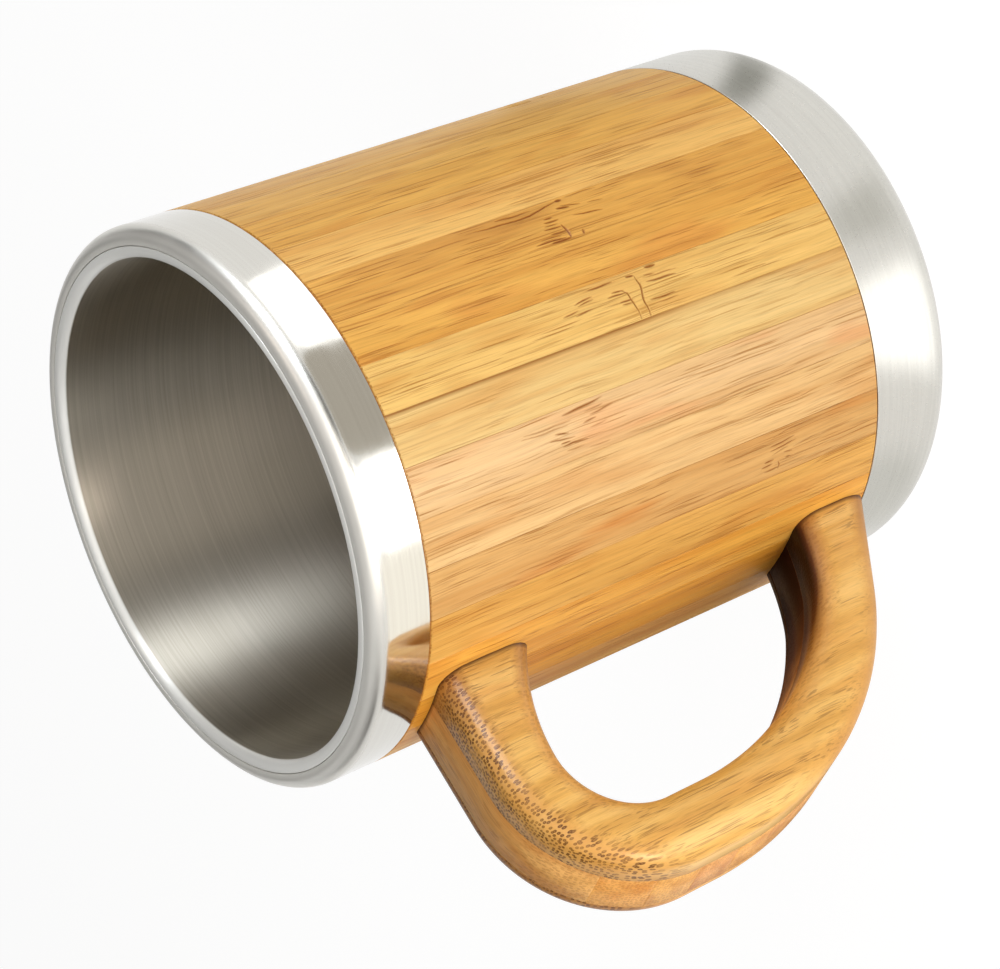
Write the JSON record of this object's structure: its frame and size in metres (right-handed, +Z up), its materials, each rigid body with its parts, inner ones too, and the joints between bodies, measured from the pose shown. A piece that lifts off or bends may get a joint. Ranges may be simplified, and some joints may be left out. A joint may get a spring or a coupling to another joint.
{
  "type": "bamboo mug",
  "caption": "Steel mug with a flush sleeve of glued bamboo staves, a polished rim collar, a satin steel base and an ear-shaped laminated bamboo handle.",
  "frame": {"origin": "centre of the flat underside, where the mug rests", "axes": "+Z up the cup's axis and out through the mouth, +X along the middle of the handle away from the cup, +Y to the side of the handle that the thick face ply is on"},
  "size_m": [0.1166, 0.08, 0.1038],
  "materials": {
    "liner_steel": "drawn stainless sheet, brushed round the inside wall, polished on the folded lip",
    "collar_steel": "mirror-polished stainless sheet",
    "base_steel": "satin stainless sheet with a soft sheen",
    "stave_bamboo": "sanded and clear-coated bamboo strips, honey to toasted, fibre streaks along the cup",
    "handle_face_bamboo": "clear-coated laminated bamboo, grain along the cup, dotted end grain on the arms' edges",
    "handle_core_bamboo": "clear-coated laminated bamboo, short crosswise strips glued edge to edge",
    "screw_steel": "plain zinc-bright wood screw"
  },
  "bodies": {
    "root": {"drinking_liner": "liner_steel", "rim_collar": "collar_steel", "base_shell": "base_steel", "base_plate": "base_steel", "handle_near_ply": "handle_face_bamboo", "handle_far_ply": "handle_face_bamboo", "handle_core_01": "handle_core_bamboo", "handle_core_02": "handle_core_bamboo", "handle_core_03": "handle_core_bamboo", "handle_core_04": "handle_core_bamboo", "handle_core_05": "handle_core_bamboo", "handle_core_06": "handle_core_bamboo", "handle_core_07": "handle_core_bamboo", "handle_core_08": "handle_core_bamboo", "handle_core_09": "handle_core_bamboo", "handle_core_10": "handle_core_bamboo", "handle_core_11": "handle_core_bamboo", "handle_core_12": "handle_core_bamboo", "upper_screw": "screw_steel", "lower_screw": "screw_steel", "stave_01": "stave_bamboo", "stave_02": "stave_bamboo", "stave_03": "stave_bamboo", "stave_04": "stave_bamboo", "stave_05": "stave_bamboo", "stave_06": "stave_bamboo", "stave_07": "stave_bamboo", "stave_08": "stave_bamboo", "stave_09": "stave_bamboo", "stave_10": "stave_bamboo", "stave_11": "stave_bamboo", "stave_12": "stave_bamboo", "stave_13": "stave_bamboo", "stave_14": "stave_bamboo", "stave_15": "stave_bamboo", "stave_16": "stave_bamboo", "stave_17": "stave_bamboo", "stave_18": "stave_bamboo", "stave_19": "stave_bamboo", "stave_20": "stave_bamboo", "stave_21": "stave_bamboo", "stave_22": "stave_bamboo", "stave_23": "stave_bamboo", "stave_24": "stave_bamboo", "stave_25": "stave_bamboo", "stave_26": "stave_bamboo", "stave_27": "stave_bamboo", "stave_28": "stave_bamboo", "stave_29": "stave_bamboo", "stave_30": "stave_bamboo", "stave_31": "stave_bamboo", "stave_32": "stave_bamboo", "stave_33": "stave_bamboo", "stave_34": "stave_bamboo", "stave_35": "stave_bamboo", "stave_36": "stave_bamboo"}
  },
  "joints": []
}
